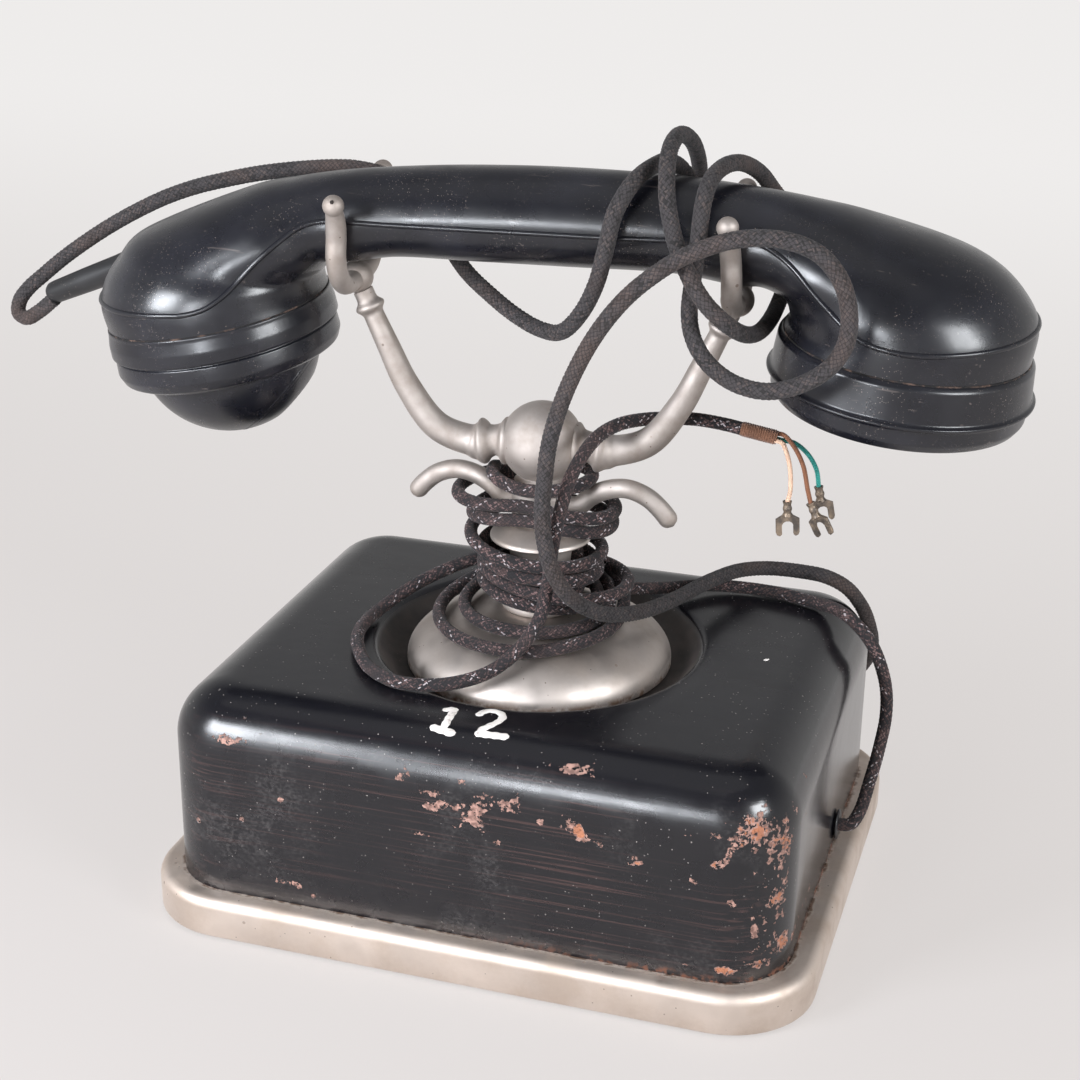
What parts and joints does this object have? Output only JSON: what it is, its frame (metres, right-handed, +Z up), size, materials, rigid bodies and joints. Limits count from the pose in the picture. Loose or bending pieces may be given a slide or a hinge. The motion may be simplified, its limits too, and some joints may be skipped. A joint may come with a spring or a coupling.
{
  "type": "desk telephone",
  "caption": "Desk telephone of the 1920s: black lacquered case on a nickel skirt, pedestal with cord hooks, sprung fork cradle, black handset, cords wound round the pedestal",
  "frame": {"origin": "middle of the base's underside, on the table", "axes": "+X to the right along the long front face, +Y to the back, +Z up"},
  "size_m": [0.2884, 0.1595, 0.2086],
  "materials": {
    "lacquer": "glossy baked lacquer, chipped",
    "nickel": "worn satin nickel plate on brass",
    "skirt_nickel": "warm worn nickel plate, pitted",
    "steel": "plain steel",
    "ebonite": "hard rubber, satin",
    "rubber": "black rubber",
    "felt": "felt",
    "braid": "dark cotton braid",
    "tweed": "flecked cotton braid",
    "cotton": "cotton covering, pale, brown and green",
    "tinned_brass": "tarnished tinned brass",
    "bell_metal": "polished bell metal",
    "coil": "varnished winding",
    "fibre": "pressed fibre",
    "aluminium": "dull spun aluminium"
  },
  "bodies": {
    "base": {"base_skirt": "skirt_nickel", "base_plate": "steel", "base_felt": "felt", "case_shell": "lacquer", "line_cord_bush": "rubber", "handset_cord_bush": "rubber", "pedestal_dome": "nickel", "pedestal_column": "nickel", "saucer_moulding": "nickel", "clamp_nut": "steel", "cord_hook_left": "nickel", "cord_hook_right": "nickel", "plunger_spring": "steel", "handset_cord_lower": "braid", "line_cord_lead": "tweed", "line_cord_winding": "tweed", "ringer_frame": "steel", "ringer_coil_left": "coil", "ringer_coil_right": "coil", "gong_left": "bell_metal", "gong_right": "bell_metal", "gong_post_left": "steel", "gong_post_right": "steel", "switch_bracket": "steel", "contact_springs": "fibre", "induction_coil": "coil", "condenser": "tinned_brass", "terminal_strip": "fibre"},
    "cradle": {"plunger_rod": "steel", "cradle_ball": "nickel", "arm_left": "nickel", "arm_right": "nickel", "fork_left": "nickel", "fork_right": "nickel", "line_cord_tail": "tweed", "cord_whipping": "cotton", "wire_pale": "cotton", "wire_brown": "cotton", "wire_green": "cotton", "lug_pale": "tinned_brass", "lug_brown": "tinned_brass", "lug_green": "tinned_brass"},
    "handset": {"handset_body": "ebonite", "mouthpiece_cap": "ebonite", "mouthpiece_hood": "ebonite", "microphone_capsule": "aluminium", "ear_cap": "ebonite", "receiver_diaphragm": "steel", "receiver_unit": "steel", "cord_sleeve": "rubber", "handset_cord_upper": "braid"},
    "clapper": {"clapper": "steel"},
    "hook_lever": {"hook_lever": "steel"}
  },
  "joints": [
    {"name": "cradle_plunge", "type": "slide", "parent": "base", "child": "cradle", "axis": [0, 0, 1], "range_m": [0, 0.0045], "stiffness_N_per_m": 200, "springref_m": 0.0175, "deforming": ["plunger_spring"]},
    {"name": "handset_lift", "type": "slide", "parent": "cradle", "child": "handset", "axis": [0, 0, 1], "range_m": [0, 0.06]},
    {"name": "clapper_swing", "type": "hinge", "parent": "base", "child": "clapper", "pos_m": [0, 0.008, 0.019], "axis": [0, 0, 1], "range_deg": [-3.5, 3.5], "stiffness_Nm_per_rad": 0.002},
    {"name": "hook_lever_turn", "type": "hinge", "parent": "base", "child": "hook_lever", "pos_m": [-0.03, 0, 0.0364], "axis": [0, -1, 0], "range_deg": [0, 8.05]}
  ],
  "couplings": [
    {"joint": "hook_lever_turn", "follows": "cradle_plunge", "rad_per_m": 31.03}
  ]
}
